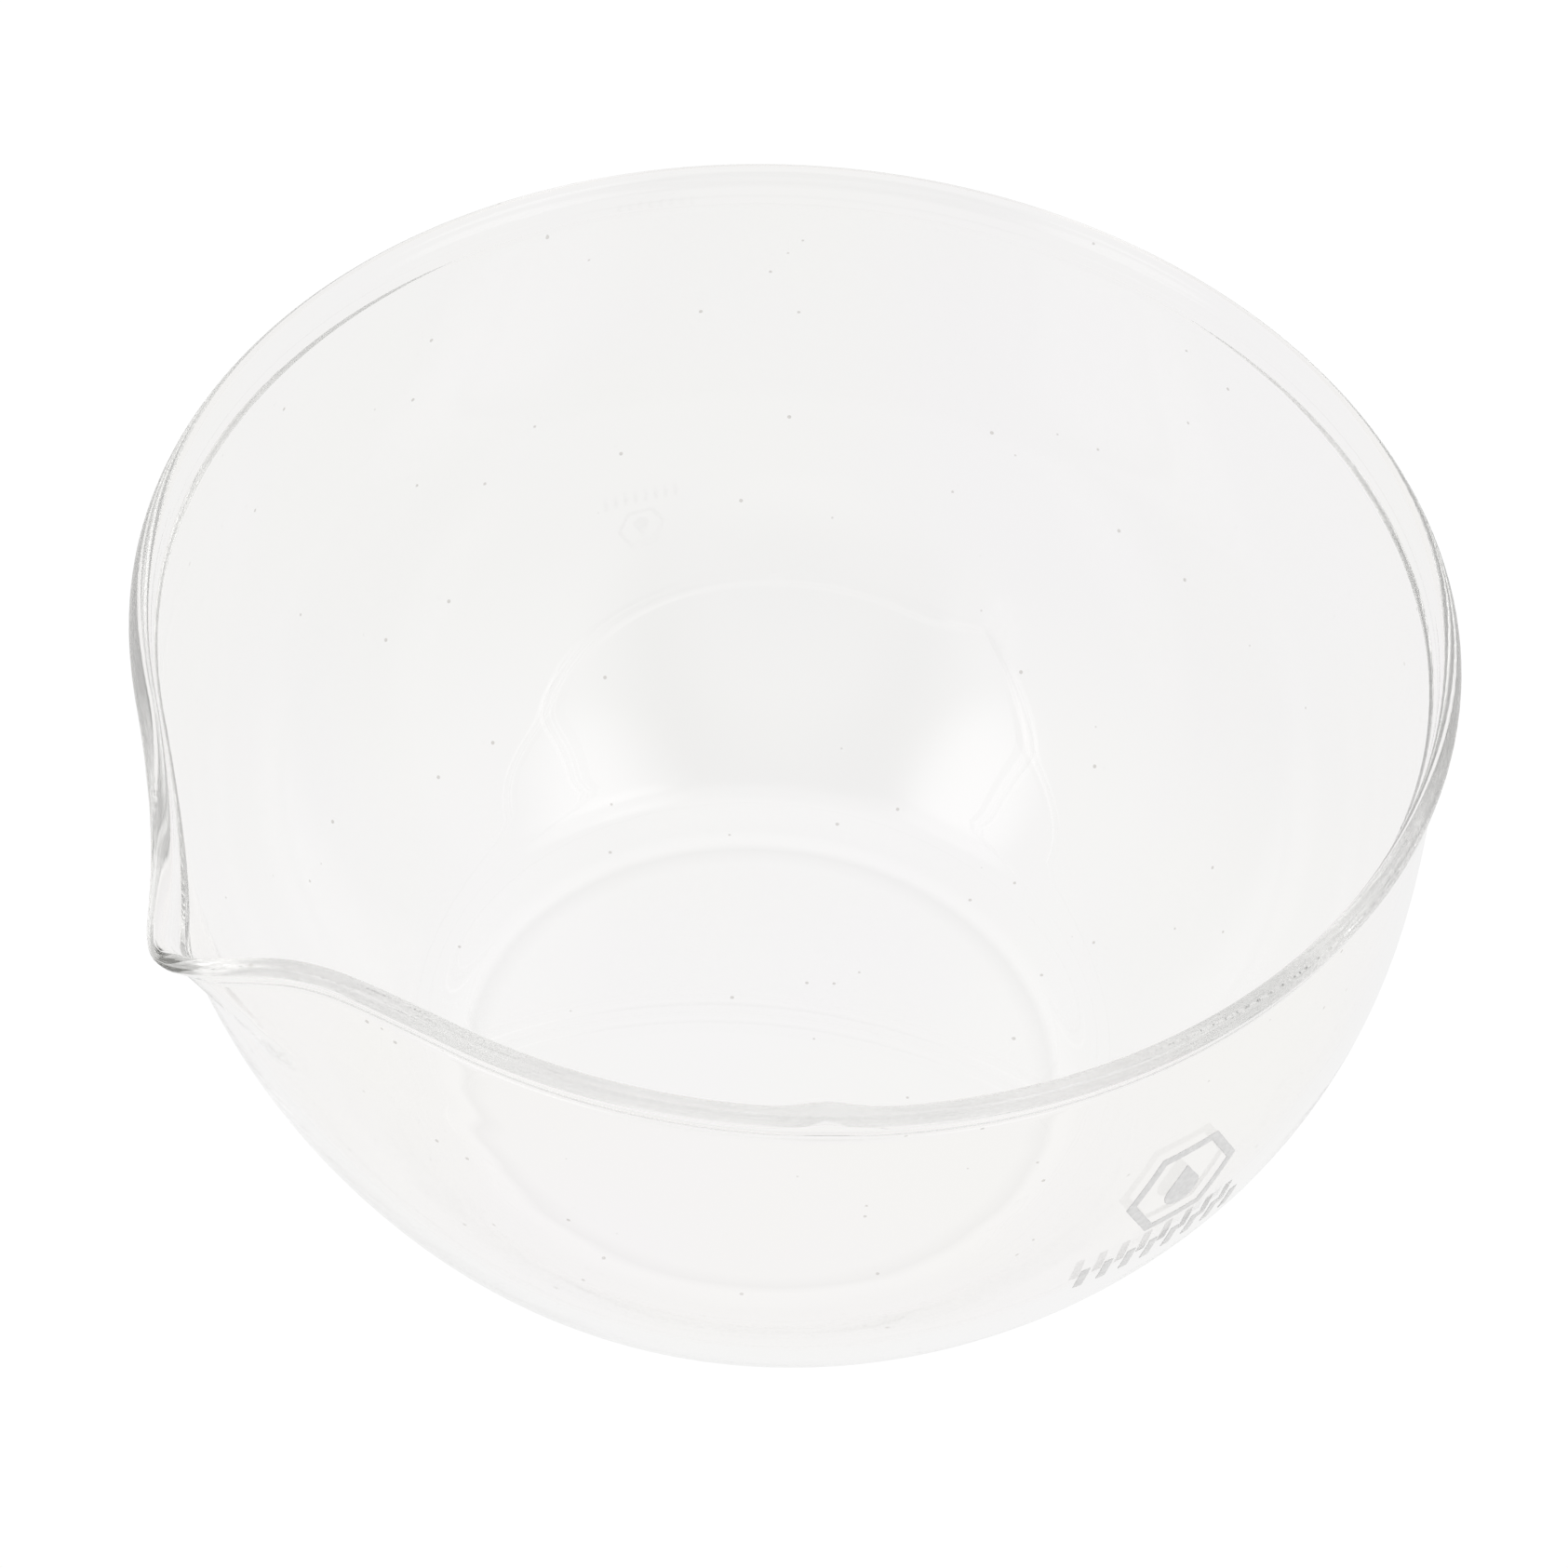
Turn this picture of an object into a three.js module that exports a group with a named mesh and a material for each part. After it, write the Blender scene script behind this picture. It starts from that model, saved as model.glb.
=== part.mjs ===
// A clear glass mixing bowl with a flat base, a fire-polished rim and a pinched pouring spout.
// Millimetres, +Z up. The origin is the centre of the base underside, on the bowl's axis.
// The spout points along -X, and the small enamel mark is printed on the outside facing -Y.
import * as THREE from "three";
import { mergeVertices } from "three/addons/utils/BufferGeometryUtils.js";

const DEG = Math.PI / 180;

// Bowl body
const RIM_R = 60; // outer radius of the rim
const HEIGHT = 65; // base underside to the top of the rim
const BASE_R = 29; // radius of the flat base
const HEEL_R = 12; // rounding between the flat base and the wall
const HEEL_TURN = 45 * DEG; // how far the heel turns up before the wall's long curve begins
const WALL_RISE = 33.7; // handle of the wall curve where it leaves the heel
const NECK_R = 59; // outer radius just under the rim
const NECK_Z = 61.4; // height where the rim's bead begins
const NECK_RISE = 20.6; // handle of the wall curve below the bead
const WALL = 1.5; // wall thickness
const FLOOR = 2.6; // glass thickness at the centre of the base
const RIM_ROUND = 0.97; // half the rim's thickness, and the radius of its full round top

// Spout: a pinch that starts on the tangents to the rim and ends in a narrow beak
const SPOUT_HALF_ANGLE = 23.4 * DEG;
const SPOUT_SOFTENING = 3.3 * DEG;
const BEAK_REACH = 6.6;
const BEAK_WIDTH = 6 * DEG; // the beak's quickly falling flank
const FLANK_WIDTH = 6.6 * DEG; // the other flank runs out long
const FLANK_SOFTENING = 3 * DEG;
const BEAK_LEAN = 1.6 * DEG; // the hand-drawn beak leans slightly to one side
const SPOUT_DEPTH = 20; // how far below the rim the pinch fades out
const SPOUT_KNEE = 0.14; // softness of that fade, as a share of the depth
const SPOUT_DIP = 1.2; // the beak's rim sits this much lower
const DIP_WIDTH = 12 * DEG;

// Hollow under the spout, where the pinch draws the wall in
const HOLLOW_DEPTH = 1.1;
const HOLLOW_Z = 27;
const HOLLOW_HEIGHT = 17;
const HOLLOW_WIDTH = 32 * DEG;

// Mesh density
const SEGMENTS = 88; // around the bowl
const SPOUT_CROWDING = 0.65; // draws the segments towards the spout, 0 spaces them evenly
const HEEL_STEPS = 4;
const WALL_STEPS = 9;
const BEAD_STEPS = 3;
const ROUND_STEPS = 6;
const SLOPE_STEP = 0.5 * DEG; // angle over which the spout's slope is measured
const MERGE_DISTANCE = 1e-4; // closer vertices are one

// Printed enamel mark
const PRINT_GAP = 0.15; // clearance between the enamel and the glass
const PRINT_THICKNESS = 0.2;
const FRAME_Z = 43; // height of the hexagonal frame's centre
const FRAME_R = 6.2; // centre to corner
const FRAME_STROKE = 1.1;
const DROP_R = 1.9; // round lower part of the drop
const DROP_TIP = 3.6; // centre of that round part to the drop's tip
const DROP_SINK = 0.9; // the drop's centre sits this far below the frame's
const BAR_Z = 33;
const BAR_COUNT = 8;
const BAR_PITCH = 2.4;
const BAR_WIDTH = 0.95;
const BAR_HEIGHT = 3.6;
const OUTLINE_STEP = 0.7; // longest straight step of a printed outline
const DROP_ARC_STEPS = 20;
const HEIGHT_HALVINGS = 40; // steps of the search for a height on the wall

const glass = new THREE.MeshStandardMaterial({ color: 0xf4f6f5, roughness: 0.03, metalness: 0 });
const enamel = new THREE.MeshStandardMaterial({ color: 0xd9d8d6, roughness: 0.55, metalness: 0 });

// The outer wall from the edge of the flat base to the bead, as a heel arc and one long curve.
const heelEnd = new THREE.Vector2(
  BASE_R + HEEL_R * Math.sin(HEEL_TURN),
  HEEL_R * (1 - Math.cos(HEEL_TURN)),
);
const wallCurve = new THREE.CubicBezierCurve(
  heelEnd,
  new THREE.Vector2(
    heelEnd.x + WALL_RISE * Math.cos(HEEL_TURN),
    heelEnd.y + WALL_RISE * Math.sin(HEEL_TURN),
  ),
  new THREE.Vector2(NECK_R, NECK_Z - NECK_RISE),
  new THREE.Vector2(NECK_R, NECK_Z),
);

// Points of the outer wall with their outward normals, from the base edge up to the bead.
function outerWall() {
  const steps = [];
  for (let i = 0; i <= HEEL_STEPS; i += 1) {
    const turn = (HEEL_TURN * i) / HEEL_STEPS;
    const normal = new THREE.Vector2(Math.sin(turn), -Math.cos(turn));
    const centre = new THREE.Vector2(BASE_R, HEEL_R);
    steps.push({ point: normal.clone().multiplyScalar(HEEL_R).add(centre), normal });
  }
  for (let i = 1; i <= WALL_STEPS; i += 1) {
    const tangent = wallCurve.getTangent(i / WALL_STEPS);
    const normal = new THREE.Vector2(tangent.y, -tangent.x);
    steps.push({ point: wallCurve.getPoint(i / WALL_STEPS), normal });
  }
  return steps;
}

// The closed half section, up the outside and down the inside. side is 0 outside and 1 inside.
function bowlSection() {
  const wall = outerWall();
  const outside = wall.map(({ point }) => ({ point, side: 0 }));
  const beadZ = HEIGHT - RIM_ROUND;
  const rimCentre = new THREE.Vector2(RIM_R - RIM_ROUND, beadZ);
  for (let i = 1; i < BEAD_STEPS; i += 1) {
    const t = i / BEAD_STEPS;
    const ease = t * t * (3 - 2 * t);
    const r = NECK_R + (RIM_R - NECK_R) * ease;
    outside.push({ point: new THREE.Vector2(r, NECK_Z + (beadZ - NECK_Z) * t), side: 0 });
  }
  const round = [];
  for (let i = 0; i <= ROUND_STEPS; i += 1) {
    const turn = (Math.PI * i) / ROUND_STEPS;
    const spoke = new THREE.Vector2(Math.cos(turn), Math.sin(turn)).multiplyScalar(RIM_ROUND);
    round.push({ point: spoke.add(rimCentre), side: i / ROUND_STEPS });
  }
  const inside = wall.map(({ point, normal }, i) => {
    const share = Math.min(1, i / HEEL_STEPS);
    const thickness = FLOOR + (WALL - FLOOR) * share;
    return { point: normal.clone().multiplyScalar(-thickness).add(point), side: 1 };
  });
  const bottom = { point: new THREE.Vector2(0, 0), side: 0 };
  const floor = { point: new THREE.Vector2(0, FLOOR), side: 1 };
  return [bottom, ...outside, ...round, ...inside.reverse(), floor];
}

// The beak's share of its full reach at an angle from its tip.
function beak(a) {
  if (a > 0) return Math.exp(-((a / BEAK_WIDTH) ** 2));
  return Math.exp((FLANK_SOFTENING - Math.hypot(a, FLANK_SOFTENING)) / FLANK_WIDTH);
}

// How far the spout carries the rim outwards at an angle from the spout's axis.
function spoutReach(angle) {
  const lean = BEAK_LEAN * Math.exp(-((angle / DIP_WIDTH) ** 2));
  const a = angle - lean;
  const soft = Math.hypot(a, SPOUT_SOFTENING);
  const tangentLine = 1 / Math.cos(Math.max(0, SPOUT_HALF_ANGLE - soft)) - 1;
  return RIM_R * tangentLine + BEAK_REACH * beak(a);
}

// 0 below the spout, 1 at the rim, straight in between with a soft knee.
function spoutShare(z) {
  const ramp = (t) => (t + Math.hypot(t, SPOUT_KNEE)) / 2;
  return ramp((z - HEIGHT + SPOUT_DEPTH) / SPOUT_DEPTH) / ramp(1);
}

// Where a point of the round bowl goes once the spout is pinched and the hollow under it drawn in.
function pinch(angle, r, z, side) {
  const share = spoutShare(z);
  const rise = spoutReach(angle + SLOPE_STEP) - spoutReach(angle - SLOPE_STEP);
  const slope = (share * rise) / (2 * SLOPE_STEP * RIM_R);
  const thicker = 2 * RIM_ROUND * (Math.hypot(1, slope) - 1) * side;
  const hollow =
    HOLLOW_DEPTH *
    Math.exp(-(((z - HOLLOW_Z) / HOLLOW_HEIGHT) ** 2)) *
    Math.exp(-((angle / HOLLOW_WIDTH) ** 2));
  const wallShare = THREE.MathUtils.smoothstep(r, BASE_R, BASE_R + HEEL_R);
  const dip = SPOUT_DIP * share * Math.exp(-((angle / DIP_WIDTH) ** 2));
  return {
    r: r + wallShare * (share * spoutReach(angle) - hollow) - thicker,
    z: z - wallShare * dip,
  };
}

function bowlGeometry() {
  const section = bowlSection();
  const geometry = new THREE.LatheGeometry(
    section.map(({ point }) => point),
    SEGMENTS,
  );
  const position = geometry.attributes.position;
  for (let i = 0; i < position.count; i += 1) {
    const { point, side } = section[i % section.length];
    const turn = (2 * Math.PI * Math.floor(i / section.length)) / SEGMENTS;
    const angle = turn - SPOUT_CROWDING * Math.sin(turn);
    const signed = angle > Math.PI ? angle - 2 * Math.PI : angle;
    const { r, z } = pinch(signed, point.x, point.y, side);
    position.setXYZ(i, -r * Math.cos(signed), -r * Math.sin(signed), z);
  }
  geometry.deleteAttribute("normal");
  geometry.deleteAttribute("uv");
  const merged = mergeVertices(geometry, MERGE_DISTANCE);
  merged.computeVertexNormals();
  return merged;
}

// A point over the outer wall on the printed side: across the front, at a height, lifted off it.
function onWall(across, z, lift) {
  let low = 0;
  let high = 1;
  for (let i = 0; i < HEIGHT_HALVINGS; i += 1) {
    const middle = (low + high) / 2;
    if (wallCurve.getPoint(middle).y < z) low = middle;
    else high = middle;
  }
  const { x: r } = wallCurve.getPoint(low);
  const tangent = wallCurve.getTangent(low);
  const angle = -Math.PI / 2 + across / r;
  const reach = r + lift * tangent.y;
  return new THREE.Vector3(
    reach * Math.cos(angle),
    reach * Math.sin(angle),
    z - lift * tangent.x,
  );
}

// A flat shape, drawn across and up from its centre, laid on the wall as a thin solid.
function printedGeometry(shape, z) {
  const geometry = new THREE.ExtrudeGeometry(shape, {
    depth: PRINT_THICKNESS,
    bevelEnabled: false,
    steps: 1,
  });
  const position = geometry.attributes.position;
  for (let i = 0; i < position.count; i += 1) {
    const lift = PRINT_GAP + position.getZ(i);
    const placed = onWall(position.getX(i), z + position.getY(i), lift);
    position.setXYZ(i, placed.x, placed.y, placed.z);
  }
  geometry.deleteAttribute("normal");
  geometry.deleteAttribute("uv");
  const merged = mergeVertices(geometry, MERGE_DISTANCE);
  merged.computeVertexNormals();
  return merged;
}

// The corners' outline with points added so that no step is longer than OUTLINE_STEP.
function finePath(corners) {
  return corners.flatMap((corner, i) => {
    const next = corners[(i + 1) % corners.length];
    const steps = Math.ceil(corner.distanceTo(next) / OUTLINE_STEP);
    return Array.from({ length: steps }, (_, k) => corner.clone().lerp(next, k / steps));
  });
}

function hexagon(radius) {
  const sides = 6;
  const corners = Array.from({ length: sides }, (_, i) => {
    const turn = (2 * Math.PI * i) / sides;
    return new THREE.Vector2(radius * Math.cos(turn), radius * Math.sin(turn));
  });
  return finePath(corners);
}

function frameShape() {
  const shape = new THREE.Shape(hexagon(FRAME_R));
  shape.holes.push(new THREE.Path(hexagon(FRAME_R - FRAME_STROKE)));
  return shape;
}

// A water drop: three quarters of a circle closed by its two tangents to the tip.
function dropShape() {
  const lean = Math.asin(DROP_R / DROP_TIP);
  const arc = new THREE.EllipseCurve(0, 0, DROP_R, DROP_R, Math.PI - lean, 2 * Math.PI + lean);
  const corners = [...arc.getPoints(DROP_ARC_STEPS), new THREE.Vector2(0, DROP_TIP)];
  return new THREE.Shape(finePath(corners));
}

function barShape(across) {
  const halfWidth = BAR_WIDTH / 2;
  const halfHeight = BAR_HEIGHT / 2;
  const corners = [
    new THREE.Vector2(across - halfWidth, -halfHeight),
    new THREE.Vector2(across + halfWidth, -halfHeight),
    new THREE.Vector2(across + halfWidth, halfHeight),
    new THREE.Vector2(across - halfWidth, halfHeight),
  ];
  return new THREE.Shape(finePath(corners));
}

function addPart(group, name, geometry, material) {
  const mesh = new THREE.Mesh(geometry, material);
  mesh.name = name;
  group.add(mesh);
}

const bowl = new THREE.Group();
addPart(bowl, "glass_bowl", bowlGeometry(), glass);
addPart(bowl, "print_frame", printedGeometry(frameShape(), FRAME_Z), enamel);
addPart(bowl, "print_drop", printedGeometry(dropShape(), FRAME_Z - DROP_SINK), enamel);
for (let i = 0; i < BAR_COUNT; i += 1) {
  const across = (i - (BAR_COUNT - 1) / 2) * BAR_PITCH;
  addPart(bowl, `print_bar_${i + 1}`, printedGeometry(barShape(across), BAR_Z), enamel);
}

export default bowl;
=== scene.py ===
"""Looks for the clear glass mixing bowl: the glass as a fine closed mesh, the printed
enamel on it, and a white studio. Metres, +Z up, spout towards -X, printed mark towards -Y."""

import math

import bmesh
import bpy
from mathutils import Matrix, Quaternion, Vector, noise


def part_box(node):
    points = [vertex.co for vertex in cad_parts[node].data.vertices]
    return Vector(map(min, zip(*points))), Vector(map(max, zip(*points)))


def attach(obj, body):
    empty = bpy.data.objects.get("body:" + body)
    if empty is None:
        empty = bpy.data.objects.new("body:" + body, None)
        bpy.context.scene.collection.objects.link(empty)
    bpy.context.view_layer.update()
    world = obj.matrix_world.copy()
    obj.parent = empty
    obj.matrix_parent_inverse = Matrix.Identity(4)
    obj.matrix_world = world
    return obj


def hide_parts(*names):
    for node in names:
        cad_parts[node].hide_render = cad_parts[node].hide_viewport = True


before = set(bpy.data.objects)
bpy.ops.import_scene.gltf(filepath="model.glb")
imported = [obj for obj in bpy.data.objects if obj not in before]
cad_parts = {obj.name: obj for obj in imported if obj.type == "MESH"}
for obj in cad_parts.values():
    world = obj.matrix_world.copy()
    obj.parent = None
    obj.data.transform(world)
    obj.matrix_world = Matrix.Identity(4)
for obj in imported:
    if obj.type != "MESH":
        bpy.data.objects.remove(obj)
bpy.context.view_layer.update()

MM = 0.001
BODY = "root"

# Driving sizes, from the frame
glass_low, glass_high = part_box("glass_bowl")
RIM_R = glass_high.y  # the spout doesn't reach the bowl's +Y side
HEIGHT = glass_high.z

# Bowl body
BASE_R = 29 * MM
HEEL_R = 12 * MM
HEEL_TURN = math.radians(45)
HEEL_START_PULL = 0.42
HEEL_END_PULL = 0.3
FOOT_TURN = math.radians(7)
WALL_RISE = 33.7 * MM
NECK_R = RIM_R - 1.0 * MM
NECK_Z = HEIGHT - 3.6 * MM
NECK_RISE = 20.6 * MM
WALL = 1.5 * MM
FLOOR = 2.6 * MM
RIM_ROUND = 0.97 * MM
BEAD_STEP = 0.4 * MM
BEAD_LOW = HEIGHT - 2.7 * MM
BEAD_HIGH = HEIGHT - 1.2 * MM
TAPER_LOW = HEIGHT - 9.0 * MM
FLOOR_MEETS_WALL = 1.5  # where the floor's thickness ends, in heel lengths

# Blob where the fire-polished rim was closed
BLOB_ANGLE = math.radians(55.8)
BLOB_WIDTH = math.radians(3)
BLOB_REACH = 0.9 * MM
BLOB_LOW = HEIGHT - 5 * MM

# Spout
SPOUT_HALF_ANGLE = math.radians(23.4)
SPOUT_SOFTENING = math.radians(3.3)
BEAK_REACH = 6.6 * MM
BEAK_WIDTH = math.radians(6)
FLANK_WIDTH = math.radians(6.6)
FLANK_SOFTENING = math.radians(3)
BEAK_LEAN = math.radians(1.6)
SPOUT_DEPTH = 20 * MM
SPOUT_KNEE = 0.14
SPOUT_DIP = 1.2 * MM
DIP_WIDTH = math.radians(12)

# Hollow under the spout
HOLLOW_DEPTH = 1.1 * MM
HOLLOW_Z = 27 * MM
HOLLOW_HEIGHT = 17 * MM
HOLLOW_WIDTH = math.radians(32)

# Waves left in the wall by hand working
RIPPLE = 0.05 * MM
RIPPLE_CALM = 0.2
RIPPLE_WIDTH = math.radians(40)
RIPPLE_AROUND = 2.2
RIPPLE_HEIGHT = 3.2 * MM

# Printed enamel mark
FILM_GAP = 0.012 * MM
FILM = 0.05 * MM
FILM_EDGE = 0.3
FRAME_R = 6.2 * MM
FRAME_STROKE = 1.1 * MM
DROP_R = 1.9 * MM
DROP_TIP = 3.6 * MM
BAR_COUNT = 8
BAR_WIDTH = 0.95 * MM
BAR_HEIGHT = 3.6 * MM
BAR_CORNER = 0.12 * MM
OUTLINE_STEP = 0.12 * MM
RAGGED = 0.012 * MM
RAGGED_GRAIN = 0.4 * MM
RAGGED_SEED = 1  # 0 would take the clock, and each run would differ

# Mesh density
SEGMENTS = 288
SPOUT_CROWDING = 0.6
HEEL_CROWDING = 1.3
HEEL_STEPS = 16
WALL_STEPS = 84
BEAD_STEPS = 20
ROUND_STEPS = 22
FLOOR_STEPS = 16


# ---------------------------------------------------------------- glass body


def bezier(t, a, b, c, d):
    s = 1 - t
    return s * s * s * a + 3 * s * s * t * b + 3 * s * t * t * c + t * t * t * d


def bezier_slope(t, a, b, c, d):
    s = 1 - t
    return 3 * s * s * (b - a) + 6 * s * t * (c - b) + 3 * t * t * (d - c)


HEEL_END = Vector(
    (BASE_R + HEEL_R * math.sin(HEEL_TURN), HEEL_R * (1 - math.cos(HEEL_TURN)))
)
WALL_HANDLES = (
    HEEL_END,
    HEEL_END + WALL_RISE * Vector((math.cos(HEEL_TURN), math.sin(HEEL_TURN))),
    Vector((NECK_R, NECK_Z - NECK_RISE)),
    Vector((NECK_R, NECK_Z)),
)


def wall_at(t):
    """Point and outward normal of the wall's curve, from the heel at 0 to the neck at 1."""
    slope = bezier_slope(t, *WALL_HANDLES).normalized()
    return bezier(t, *WALL_HANDLES), Vector((slope.y, -slope.x))


def wall_at_height(z):
    low, high = 0.0, 1.0
    for _ in range(40):
        middle = (low + high) / 2
        if wall_at(middle)[0].y < z:
            low = middle
        else:
            high = middle
    return wall_at(low)


def outer_wall():
    """Points of the outer wall with their outward normals, from the base edge to the neck."""
    start = Vector((BASE_R, 0))
    away = Vector((math.cos(FOOT_TURN), math.sin(FOOT_TURN)))
    upwards = Vector((math.cos(HEEL_TURN), math.sin(HEEL_TURN)))
    heel = (
        start,
        start + HEEL_R * HEEL_START_PULL * away,
        HEEL_END - HEEL_R * HEEL_END_PULL * upwards,
        HEEL_END,
    )
    steps = []
    for i in range(HEEL_STEPS):
        t = (i / HEEL_STEPS) ** HEEL_CROWDING
        slope = bezier_slope(t, *heel).normalized()
        steps.append((bezier(t, *heel), Vector((slope.y, -slope.x))))
    steps += [wall_at(i / WALL_STEPS) for i in range(WALL_STEPS + 1)]
    return steps


def smoothstep(x, low, high):
    t = min(1.0, max(0.0, (x - low) / (high - low)))
    return t * t * (3 - 2 * t)


def wall_thickness(z):
    """The wall thickens a little towards the fire-polished rim."""
    rim_thickness = 2 * RIM_ROUND - BEAD_STEP
    t = max(0.0, (z - TAPER_LOW) / (HEIGHT - RIM_ROUND - TAPER_LOW))
    return WALL + (rim_thickness - WALL) * t * t * (1.6 - 0.6 * t)


def rim_lean(z):
    """How far the wall above the neck leans out, without its bead."""
    return (RIM_R - NECK_R - BEAD_STEP) * smoothstep(z, NECK_Z - 1 * MM, BEAD_HIGH)


def rim_section():
    """The rim from the neck over its round top and down inside, as (point, side)."""
    bead_z = HEIGHT - RIM_ROUND
    section = []
    for i in range(1, BEAD_STEPS):
        z = NECK_Z + (bead_z - NECK_Z) * i / BEAD_STEPS
        bead = BEAD_STEP * smoothstep(z, BEAD_LOW, BEAD_HIGH)
        section.append((Vector((NECK_R + rim_lean(z) + bead, z)), 0.0))
    rim_centre = Vector((RIM_R - RIM_ROUND, bead_z))
    for i in range(ROUND_STEPS + 1):
        turn = math.pi * i / ROUND_STEPS
        spoke = Vector((math.cos(turn), math.sin(turn)))
        section.append((rim_centre + RIM_ROUND * spoke, i / ROUND_STEPS))
    for i in range(1, BEAD_STEPS):
        z = bead_z + (NECK_Z - bead_z) * i / BEAD_STEPS
        section.append((Vector((NECK_R + rim_lean(z) - wall_thickness(z), z)), 1.0))
    return section


def bowl_section():
    """Half section as (point, side), up the outside and down the inside; side is 1 inside."""
    wall = outer_wall()
    section = []
    for i in range(1, FLOOR_STEPS):
        r = BASE_R * (1 - (1 - i / FLOOR_STEPS) ** 2)
        section.append((Vector((r, 0)), 0.0))
    section += [(point, 0.0) for point, _ in wall]
    section += rim_section()
    inside = []
    for i, (point, normal) in enumerate(wall):
        thickness = FLOOR - WALL
        thickness *= 1 - smoothstep(i / HEEL_STEPS, 0, FLOOR_MEETS_WALL)
        thickness += wall_thickness(point.y)
        straight_up = smoothstep(i, 0, HEEL_STEPS)
        push = (Vector((0, -1)).lerp(normal, straight_up)).normalized()
        inside.append((point - thickness * push, 1.0))
    section += inside[::-1]
    for i in range(FLOOR_STEPS - 1, 0, -1):
        r = inside[0][0].x * i / FLOOR_STEPS
        section.append((Vector((r, FLOOR)), 1.0))
    return section


def beak(a):
    """The beak's share of its full reach; one flank is short and the other runs out long."""
    if a > 0:
        return math.exp(-((a / BEAK_WIDTH) ** 2))
    return math.exp((FLANK_SOFTENING - math.hypot(a, FLANK_SOFTENING)) / FLANK_WIDTH)


def spout_reach(angle):
    """How far the spout carries the rim outwards at an angle from the spout's axis."""
    a = angle - BEAK_LEAN * math.exp(-((angle / DIP_WIDTH) ** 2))
    soft = math.hypot(a, SPOUT_SOFTENING)
    tangent_line = 1 / math.cos(max(0.0, SPOUT_HALF_ANGLE - soft)) - 1
    return RIM_R * tangent_line + BEAK_REACH * beak(a)


def spout_share(z):
    """0 below the spout and 1 at the rim, straight in between with a soft knee."""

    def ramp(t):
        return (t + math.hypot(t, SPOUT_KNEE)) / 2

    return ramp((z - HEIGHT + SPOUT_DEPTH) / SPOUT_DEPTH) / ramp(1)


def ripple(angle, z):
    """Slow waves of a hand-worked wall: long around it, short up it, strongest by the spout."""
    around = (RIPPLE_AROUND * math.cos(angle), RIPPLE_AROUND * math.sin(angle))
    place = Vector((*around, z / RIPPLE_HEIGHT))
    worked = RIPPLE_CALM + spout_share(z) * math.exp(-((angle / RIPPLE_WIDTH) ** 2))
    return RIPPLE * worked * noise.noise(place)


def pinch(angle, r, z, side):
    """Where a point of the round bowl goes once the spout is pinched."""
    share = spout_share(z)
    step = math.radians(0.25)
    rise = spout_reach(angle + step) - spout_reach(angle - step)
    slope = share * rise / (2 * step) / RIM_R
    thicker = 2 * RIM_ROUND * (math.hypot(1, slope) - 1) * side
    hollow = (
        HOLLOW_DEPTH
        * math.exp(-(((z - HOLLOW_Z) / HOLLOW_HEIGHT) ** 2))
        * math.exp(-((angle / HOLLOW_WIDTH) ** 2))
    )
    on_wall = smoothstep(r, BASE_R, BASE_R + HEEL_R)
    dip = SPOUT_DIP * share * math.exp(-((angle / DIP_WIDTH) ** 2))
    blob = BLOB_REACH * side * math.exp(-(((angle - BLOB_ANGLE) / BLOB_WIDTH) ** 2))
    blob *= smoothstep(z, BLOB_LOW, HEIGHT - RIM_ROUND)
    reach = share * spout_reach(angle) - hollow - thicker - blob + side * ripple(angle, z)
    return r + on_wall * reach, z - dip * on_wall


def glass_mesh():
    section = bowl_section()
    bm = bmesh.new()
    rings = []
    for point, side in section:
        ring = []
        for k in range(SEGMENTS):
            turn = 2 * math.pi * k / SEGMENTS
            angle = turn - SPOUT_CROWDING * math.sin(turn)
            signed = angle - 2 * math.pi if angle > math.pi else angle
            r, z = pinch(signed, point.x, point.y, side)
            ring.append(
                bm.verts.new((-r * math.cos(signed), -r * math.sin(signed), z))
            )
        rings.append(ring)
    bottom = bm.verts.new((0, 0, 0))
    top = bm.verts.new((0, 0, FLOOR))
    for k in range(SEGMENTS):
        n = (k + 1) % SEGMENTS
        bm.faces.new((bottom, rings[0][n], rings[0][k]))
        bm.faces.new((top, rings[-1][k], rings[-1][n]))
    for lower, upper in zip(rings, rings[1:]):
        for k in range(SEGMENTS):
            n = (k + 1) % SEGMENTS
            bm.faces.new((lower[k], lower[n], upper[n], upper[k]))
    bmesh.ops.recalc_face_normals(bm, faces=bm.faces)
    mesh = bpy.data.meshes.new("glass_body")
    bm.to_mesh(mesh)
    bm.free()
    mesh.shade_smooth()
    return mesh


def node_of(nodes, kind, **inputs):
    node = nodes.new(kind)
    for name, value in inputs.items():
        node.inputs[name.replace("_", " ")].default_value = value
    return node


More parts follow.
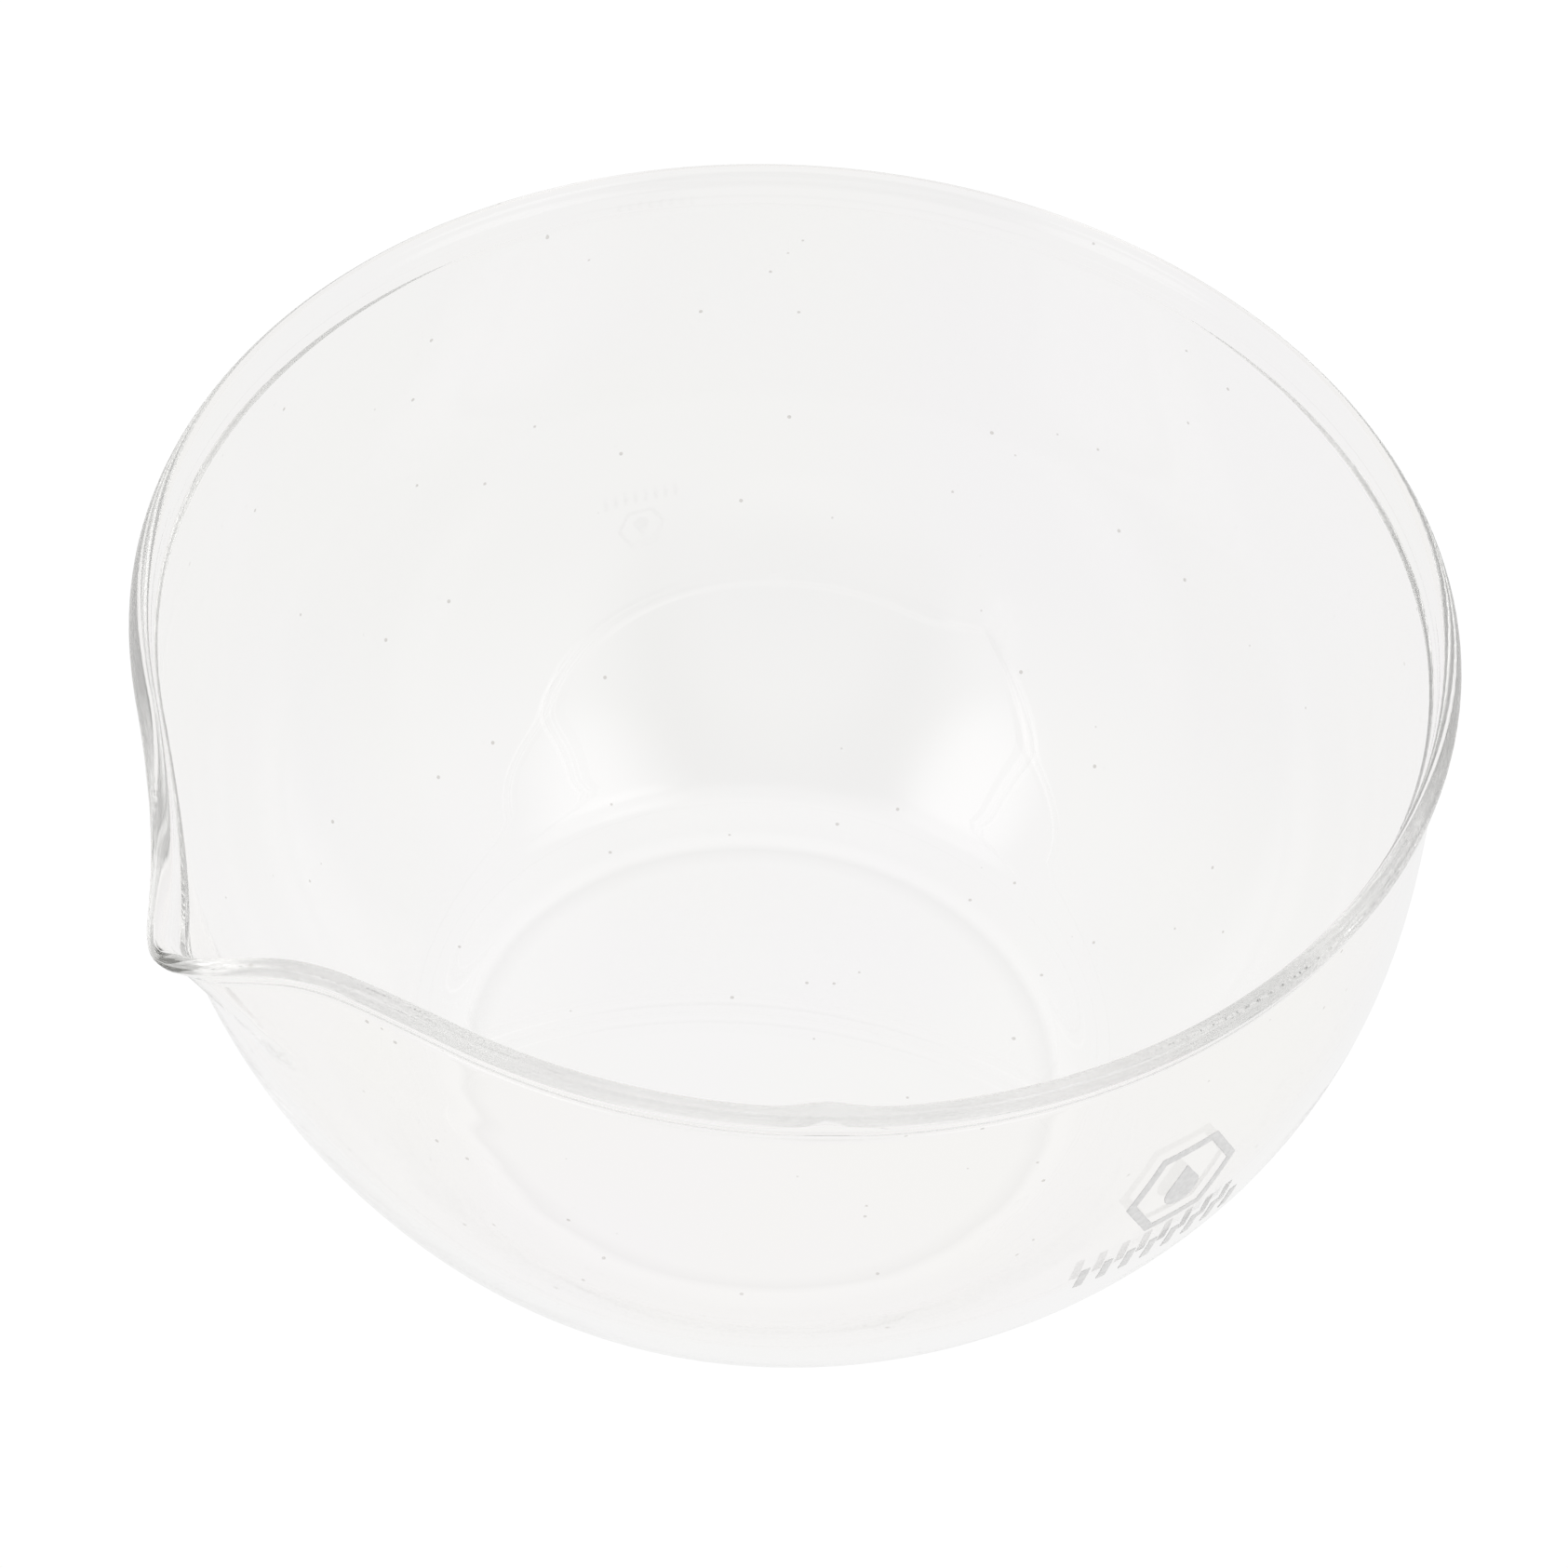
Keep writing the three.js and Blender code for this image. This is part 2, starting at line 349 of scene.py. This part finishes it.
def glass_material():
    """Clear glass with a trace of tint, faint smears and specks of dust."""
    material = bpy.data.materials.new("clear_glass")
    material.use_nodes = True
    nodes = material.node_tree.nodes
    links = material.node_tree.links
    shader = nodes["Principled BSDF"]
    shader.inputs["Transmission Weight"].default_value = 1
    shader.inputs["IOR"].default_value = 1.474
    coords = nodes.new("ShaderNodeTexCoord")

    cloud = node_of(nodes, "ShaderNodeTexNoise", Scale=28.0, Detail=3.0)
    tint = nodes.new("ShaderNodeValToRGB")
    tint.color_ramp.elements[0].position = 0.35
    tint.color_ramp.elements[0].color = (1.0, 0.991, 0.993, 1)
    tint.color_ramp.elements[1].position = 0.65
    tint.color_ramp.elements[1].color = (1.0, 0.995, 0.982, 1)
    links.new(coords.outputs["Object"], cloud.inputs["Vector"])
    links.new(cloud.outputs["Fac"], tint.inputs["Fac"])

    dust = node_of(nodes, "ShaderNodeTexVoronoi", Scale=190.0, Randomness=1.0)
    speck = node_of(nodes, "ShaderNodeMapRange", From_Min=0.045, From_Max=0.03)
    dusty = nodes.new("ShaderNodeMix")
    dusty.data_type = "RGBA"
    dusty.inputs[7].default_value = (0.55, 0.53, 0.5, 1)
    links.new(coords.outputs["Object"], dust.inputs["Vector"])
    links.new(dust.outputs["Distance"], speck.inputs["Value"])
    links.new(speck.outputs["Result"], dusty.inputs[0])
    links.new(tint.outputs["Color"], dusty.inputs[6])
    links.new(dusty.outputs[2], shader.inputs["Base Color"])

    smear = node_of(nodes, "ShaderNodeTexNoise", Scale=55.0, Detail=5.0, Roughness=0.62)
    smeared = node_of(
        nodes, "ShaderNodeMapRange", From_Min=0.58, From_Max=0.78, To_Max=0.015
    )
    face = nodes.new("ShaderNodeNewGeometry")
    outside = nodes.new("ShaderNodeMix")
    links.new(coords.outputs["Object"], smear.inputs["Vector"])
    links.new(smear.outputs["Fac"], smeared.inputs["Value"])
    links.new(face.outputs["Backfacing"], outside.inputs["Factor"])
    links.new(smeared.outputs["Result"], outside.inputs["A"])
    links.new(outside.outputs["Result"], shader.inputs["Roughness"])

    depth = node_of(
        nodes, "ShaderNodeVolumeAbsorption", Color=(0.81, 0.812, 0.795, 1), Density=2.3
    )
    links.new(depth.outputs["Volume"], nodes["Material Output"].inputs["Volume"])
    return material


# ---------------------------------------------------------------- printed enamel


def enamel_material():
    """Pale grey printed enamel, mottled and a little uneven under the finger."""
    material = bpy.data.materials.new("enamel_print")
    material.use_nodes = True
    nodes = material.node_tree.nodes
    links = material.node_tree.links
    shader = nodes["Principled BSDF"]
    coords = nodes.new("ShaderNodeTexCoord")
    mottle = node_of(nodes, "ShaderNodeTexNoise", Scale=1700.0, Detail=4.0, Roughness=0.6)
    shade = nodes.new("ShaderNodeValToRGB")
    shade.color_ramp.elements[0].position = 0.3
    shade.color_ramp.elements[0].color = (0.74, 0.735, 0.73, 1)
    shade.color_ramp.elements[1].position = 0.7
    shade.color_ramp.elements[1].color = (0.87, 0.866, 0.86, 1)
    rough = node_of(nodes, "ShaderNodeMapRange", To_Min=0.42, To_Max=0.68)
    bump = node_of(nodes, "ShaderNodeBump", Strength=0.5, Distance=0.00002)
    links.new(coords.outputs["Object"], mottle.inputs["Vector"])
    links.new(mottle.outputs["Fac"], shade.inputs["Fac"])
    links.new(mottle.outputs["Fac"], rough.inputs["Value"])
    links.new(mottle.outputs["Fac"], bump.inputs["Height"])
    links.new(shade.outputs["Color"], shader.inputs["Base Color"])
    links.new(rough.outputs["Result"], shader.inputs["Roughness"])
    links.new(bump.outputs["Normal"], shader.inputs["Normal"])
    return material


def fine_path(corners):
    """The outline through the corners with points added so that no step is long."""
    path = []
    for i, corner in enumerate(corners):
        following = corners[(i + 1) % len(corners)]
        steps = math.ceil((following - corner).length / OUTLINE_STEP)
        path += [corner.lerp(following, k / steps) for k in range(steps)]
    return path


def ragged(path, seed):
    """The outline with the slightly uneven edge of a screen print."""
    worn = []
    for point in path:
        place = Vector((point.x / RAGGED_GRAIN, point.y / RAGGED_GRAIN, seed))
        worn.append(point + RAGGED * noise.noise_vector(place).xy)
    return worn


def hexagon(radius):
    turns = [math.pi * i / 3 for i in range(6)]
    return [Vector((radius * math.cos(turn), radius * math.sin(turn))) for turn in turns]


def drop():
    """A water drop, with the middle of its height at 0."""
    lean = math.asin(DROP_R / DROP_TIP)
    sink = (DROP_TIP - DROP_R) / 2
    corners = []
    for i in range(61):
        turn = math.pi - lean + (math.pi + 2 * lean) * i / 60
        corners.append(Vector((DROP_R * math.cos(turn), DROP_R * math.sin(turn) - sink)))
    return [*corners, Vector((0, DROP_TIP - sink))]


def bar():
    """A small upright bar with barely rounded corners."""
    corners = []
    for i in range(4):
        x = 1 if i in (0, 3) else -1
        y = 1 if i in (0, 1) else -1
        middle = Vector(
            (x * (BAR_WIDTH / 2 - BAR_CORNER), y * (BAR_HEIGHT / 2 - BAR_CORNER))
        )
        for k in range(5):
            turn = math.pi / 2 * (i + k / 4)
            corners.append(middle + BAR_CORNER * Vector((math.cos(turn), math.sin(turn))))
    return corners


def on_wall(azimuth, across, z, lift):
    """A point lifted off the outer wall, across from an azimuth and at a height."""
    point, normal = wall_at_height(z)
    turn = azimuth + across / point.x
    reach = point.x + lift * normal.x
    return (reach * math.cos(turn), reach * math.sin(turn), z + lift * normal.y)


def film_rows(inner, outer):
    """Rows of (outline, height) from the inner outline, or point, to the outer outline."""
    solid = len(inner) == 1
    shares = (0.2, 0.4, 0.6, 0.78, 0.92, 1) if solid else (0, 0.12, 0.35, 0.65, 0.88, 1)
    rows = []
    for share in shares:
        edge = 1 - share if solid else min(share, 1 - share)
        height = FILM_EDGE + (1 - FILM_EDGE) * min(1, edge / 0.2) ** 0.5
        row = [
            inner[i % len(inner)].lerp(point, share) for i, point in enumerate(outer)
        ]
        rows.append((row, FILM * height))
    return rows


def film_mesh(name, node, inner, outer):
    """A thin closed film on the wall between two outlines, centred on the frame's node."""
    low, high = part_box(node)
    middle = (low + high) / 2
    azimuth = math.atan2(middle.y, middle.x)
    rows = film_rows(inner, outer)
    loops = [(row, FILM_GAP + height) for row, height in rows]
    loops += [(row, FILM_GAP) for row, _ in reversed(rows)]
    bm = bmesh.new()
    rings = [
        [bm.verts.new(on_wall(azimuth, p.x, middle.z + p.y, lift)) for p in row]
        for row, lift in loops
    ]
    count = len(outer)
    pairs = list(zip(rings, rings[1:]))
    if len(inner) == 1:
        x, z = inner[0].x, middle.z + inner[0].y
        crown = bm.verts.new(on_wall(azimuth, x, z, FILM_GAP + FILM))
        root = bm.verts.new(on_wall(azimuth, x, z, FILM_GAP))
        for k in range(count):
            n = (k + 1) % count
            bm.faces.new((crown, rings[0][k], rings[0][n]))
            bm.faces.new((root, rings[-1][n], rings[-1][k]))
    else:
        pairs.append((rings[-1], rings[0]))
    for near, far in pairs:
        for k in range(count):
            n = (k + 1) % count
            bm.faces.new((near[k], far[k], far[n], near[n]))
    bmesh.ops.recalc_face_normals(bm, faces=bm.faces)
    mesh = bpy.data.meshes.new(name)
    bm.to_mesh(mesh)
    bm.free()
    mesh.shade_smooth()
    return mesh


def add_print():
    noise.seed_set(RAGGED_SEED)
    enamel = enamel_material()
    outer = fine_path(hexagon(FRAME_R))
    shrink = (FRAME_R - FRAME_STROKE) / FRAME_R
    inner = ragged([point * shrink for point in outer], 1)
    frame_film = film_mesh("frame_film", "print_frame", inner, ragged(outer, 2))
    add_piece("frame_film", frame_film, enamel, "enamel_print", "print_frame")
    centre = [Vector((0, -(DROP_TIP - DROP_R) / 2))]
    drop_film = film_mesh("drop_film", "print_drop", centre, ragged(fine_path(drop()), 3))
    add_piece("drop_film", drop_film, enamel, "enamel_print", "print_drop")
    for i in range(1, BAR_COUNT + 1):
        node = f"print_bar_{i}"
        outline = ragged(fine_path(bar()), 3 + i)
        film = film_mesh(f"bar_film_{i}", node, [Vector((0, 0))], outline)
        add_piece(f"bar_film_{i}", film, enamel, "enamel_print", node)


def add_piece(name, mesh, material, slot_name, *nodes):
    piece = bpy.data.objects.new(name, mesh)
    bpy.context.scene.collection.objects.link(piece)
    mesh.materials.append(material)
    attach(piece, BODY)
    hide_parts(*nodes)
    return piece


# ---------------------------------------------------------------- studio

# Brightness of the sky at and above the horizon
SKY_LOW = 0.88
SKY_HIGH = 0.94
# Soft lights and, where the strength is below 0, dark areas of the studio,
# as (azimuth, elevation, width, strength), with the angles in degrees
GLOWS = (
    (-127, 40, 44, -0.82),
    (-128, 24, 30, 0.42),
    (50, 86, 22, 0.2),
    (-71, 48, 22, 0.95),
    (-71, 60, 10, 0.4),
    (177, 41, 18, 0.85),
)
# Brightness of the floor around the bowl's axis, as (distance in mm, level), where it is seen
# through the glass and in it:
# a painted shade in a thin ring under the edge of the base, a painted light line just outside
# it, and a painted fall-off, a little darker further out
FLOOR_LEVELS = (
    (0, 0.92),
    (26.5, 0.92),
    # painted shade under the edge of the base, then a painted light line just outside it
    (28.9, 0.86),
    (29.1, 0.94),
    (30, 0.94),
    (31, 0.92),
    (52, 0.92),
    # painted light fall-off: a little darker further out
    (74, 0.9),
    (250, 0.9),
)
FLOOR_SIZE = 4.0
FLOOR_DROP = 0.2 * MM
FLOOR_SEEN = 1.02  # its level where nothing is in front of it

# Camera, aimed at the bowl's axis
CAMERA_AZIMUTH = math.radians(-130.16)
CAMERA_AWAY = 409.98 * MM
CAMERA_Z = 484.7 * MM
AIM_Z = 41.5 * MM
CAMERA_ROLL = math.radians(4.84)
LENS = 149.6
SENSOR = 36

# Light runs round inside the rim for many bounces before it leaves
BOUNCES = 400


def direction(azimuth, elevation):
    a, e = math.radians(azimuth), math.radians(elevation)
    return (math.cos(a) * math.cos(e), math.sin(a) * math.cos(e), math.sin(e))


def add_levels(nodes, links, levels, distance):
    """A grey that follows (distance in mm, level) pairs."""
    scale = nodes.new("ShaderNodeMath")
    scale.operation = "DIVIDE"
    scale.inputs[1].default_value = levels[-1][0] * MM
    grey = nodes.new("ShaderNodeValToRGB")
    stops = grey.color_ramp.elements
    stops[0].color = (*[levels[0][1]] * 3, 1)
    stops[1].color = (*[levels[-1][1]] * 3, 1)
    for place, value in levels[1:-1]:
        stops.new(place / levels[-1][0]).color = (value, value, value, 1)
    links.new(distance, scale.inputs[0])
    links.new(scale.outputs["Value"], grey.inputs["Fac"])
    return grey.outputs["Color"]


def add_floor():
    size = FLOOR_SIZE
    mesh = bpy.data.meshes.new("floor")
    mesh.from_pydata(
        [(-size, -size, 0), (size, -size, 0), (size, size, 0), (-size, size, 0)],
        [],
        [(0, 1, 2, 3)],
    )
    floor = bpy.data.objects.new("floor", mesh)
    floor.location.z = -FLOOR_DROP
    bpy.context.scene.collection.objects.link(floor)
    material = bpy.data.materials.new("floor_white")
    material.use_nodes = True
    nodes = material.node_tree.nodes
    links = material.node_tree.links
    nodes.remove(nodes["Principled BSDF"])
    path = nodes.new("ShaderNodeLightPath")
    glow = nodes.new("ShaderNodeEmission")
    coords = nodes.new("ShaderNodeTexCoord")
    length = nodes.new("ShaderNodeVectorMath")
    length.operation = "LENGTH"
    links.new(coords.outputs["Object"], length.inputs[0])
    # through the glass and in it the floor shows these levels, with their painted shade ring,
    # painted light line and painted fall-off; seen straight from the camera it is an even
    # FLOOR_SEEN
    level = add_levels(nodes, links, FLOOR_LEVELS, length.outputs["Value"])
    mix = nodes.new("ShaderNodeMix")
    mix.data_type = "RGBA"
    mix.inputs[7].default_value = (FLOOR_SEEN, FLOOR_SEEN, FLOOR_SEEN, 1)
    links.new(level, mix.inputs[6])
    links.new(path.outputs["Is Camera Ray"], mix.inputs[0])
    links.new(mix.outputs[2], glow.inputs["Color"])
    links.new(glow.outputs["Emission"], nodes["Material Output"].inputs["Surface"])
    mesh.materials.append(material)


def add_glow(nodes, links, heading, width, strength, total):
    """A soft light in the world: strength at its middle, gone at width degrees from it."""
    facing = nodes.new("ShaderNodeVectorMath")
    facing.operation = "DOT_PRODUCT"
    facing.inputs[1].default_value = heading
    fade = nodes.new("ShaderNodeMapRange")
    fade.interpolation_type = "SMOOTHERSTEP"
    fade.inputs["From Min"].default_value = math.cos(math.radians(width))
    fade.inputs["From Max"].default_value = 1.0
    fade.inputs["To Max"].default_value = strength
    add = nodes.new("ShaderNodeMath")
    add.operation = "ADD"
    coords = nodes["Texture Coordinate"]
    links.new(coords.outputs["Generated"], facing.inputs[0])
    links.new(facing.outputs["Value"], fade.inputs["Value"])
    links.new(total, add.inputs[0])
    links.new(fade.outputs["Result"], add.inputs[1])
    return add.outputs["Value"]


def add_world():
    world = bpy.data.worlds.new("studio")
    bpy.context.scene.world = world
    world.use_nodes = True
    nodes = world.node_tree.nodes
    links = world.node_tree.links
    nodes.clear()
    out = nodes.new("ShaderNodeOutputWorld")
    background = nodes.new("ShaderNodeBackground")
    background.inputs["Color"].default_value = (1, 1, 1, 1)
    coords = nodes.new("ShaderNodeTexCoord")
    split = nodes.new("ShaderNodeSeparateXYZ")
    sky = node_of(
        nodes, "ShaderNodeMapRange", From_Min=0.1, From_Max=0.7, To_Min=SKY_LOW, To_Max=SKY_HIGH
    )
    links.new(coords.outputs["Generated"], split.inputs[0])
    links.new(split.outputs["Z"], sky.inputs["Value"])
    total = sky.outputs["Result"]
    for azimuth, elevation, width, strength in GLOWS:
        heading = direction(azimuth, elevation)
        total = add_glow(nodes, links, heading, width, strength, total)
    links.new(total, background.inputs["Strength"])
    links.new(background.outputs["Background"], out.inputs["Surface"])


def add_camera():
    across = (math.cos(CAMERA_AZIMUTH), math.sin(CAMERA_AZIMUTH))
    place = Vector((CAMERA_AWAY * across[0], CAMERA_AWAY * across[1], CAMERA_Z))
    data = bpy.data.cameras.new("camera")
    data.sensor_fit = "HORIZONTAL"
    data.sensor_width = SENSOR
    data.lens = LENS
    camera = bpy.data.objects.new("camera", data)
    camera.location = place
    camera.rotation_mode = "QUATERNION"
    look = (Vector((0, 0, AIM_Z)) - place).to_track_quat("-Z", "Y")
    camera.rotation_quaternion = look @ Quaternion((0, 0, 1), CAMERA_ROLL)
    bpy.context.scene.collection.objects.link(camera)
    bpy.context.scene.camera = camera


add_camera()
add_piece(
    "glass_body", glass_mesh(), glass_material(), "clear_glass", "glass_bowl"
)
add_print()
add_floor()
add_world()
bpy.context.scene.view_settings.view_transform = "Standard"
cycles = bpy.context.scene.cycles
cycles.max_bounces = BOUNCES
cycles.glossy_bounces = BOUNCES
cycles.transmission_bounces = BOUNCES
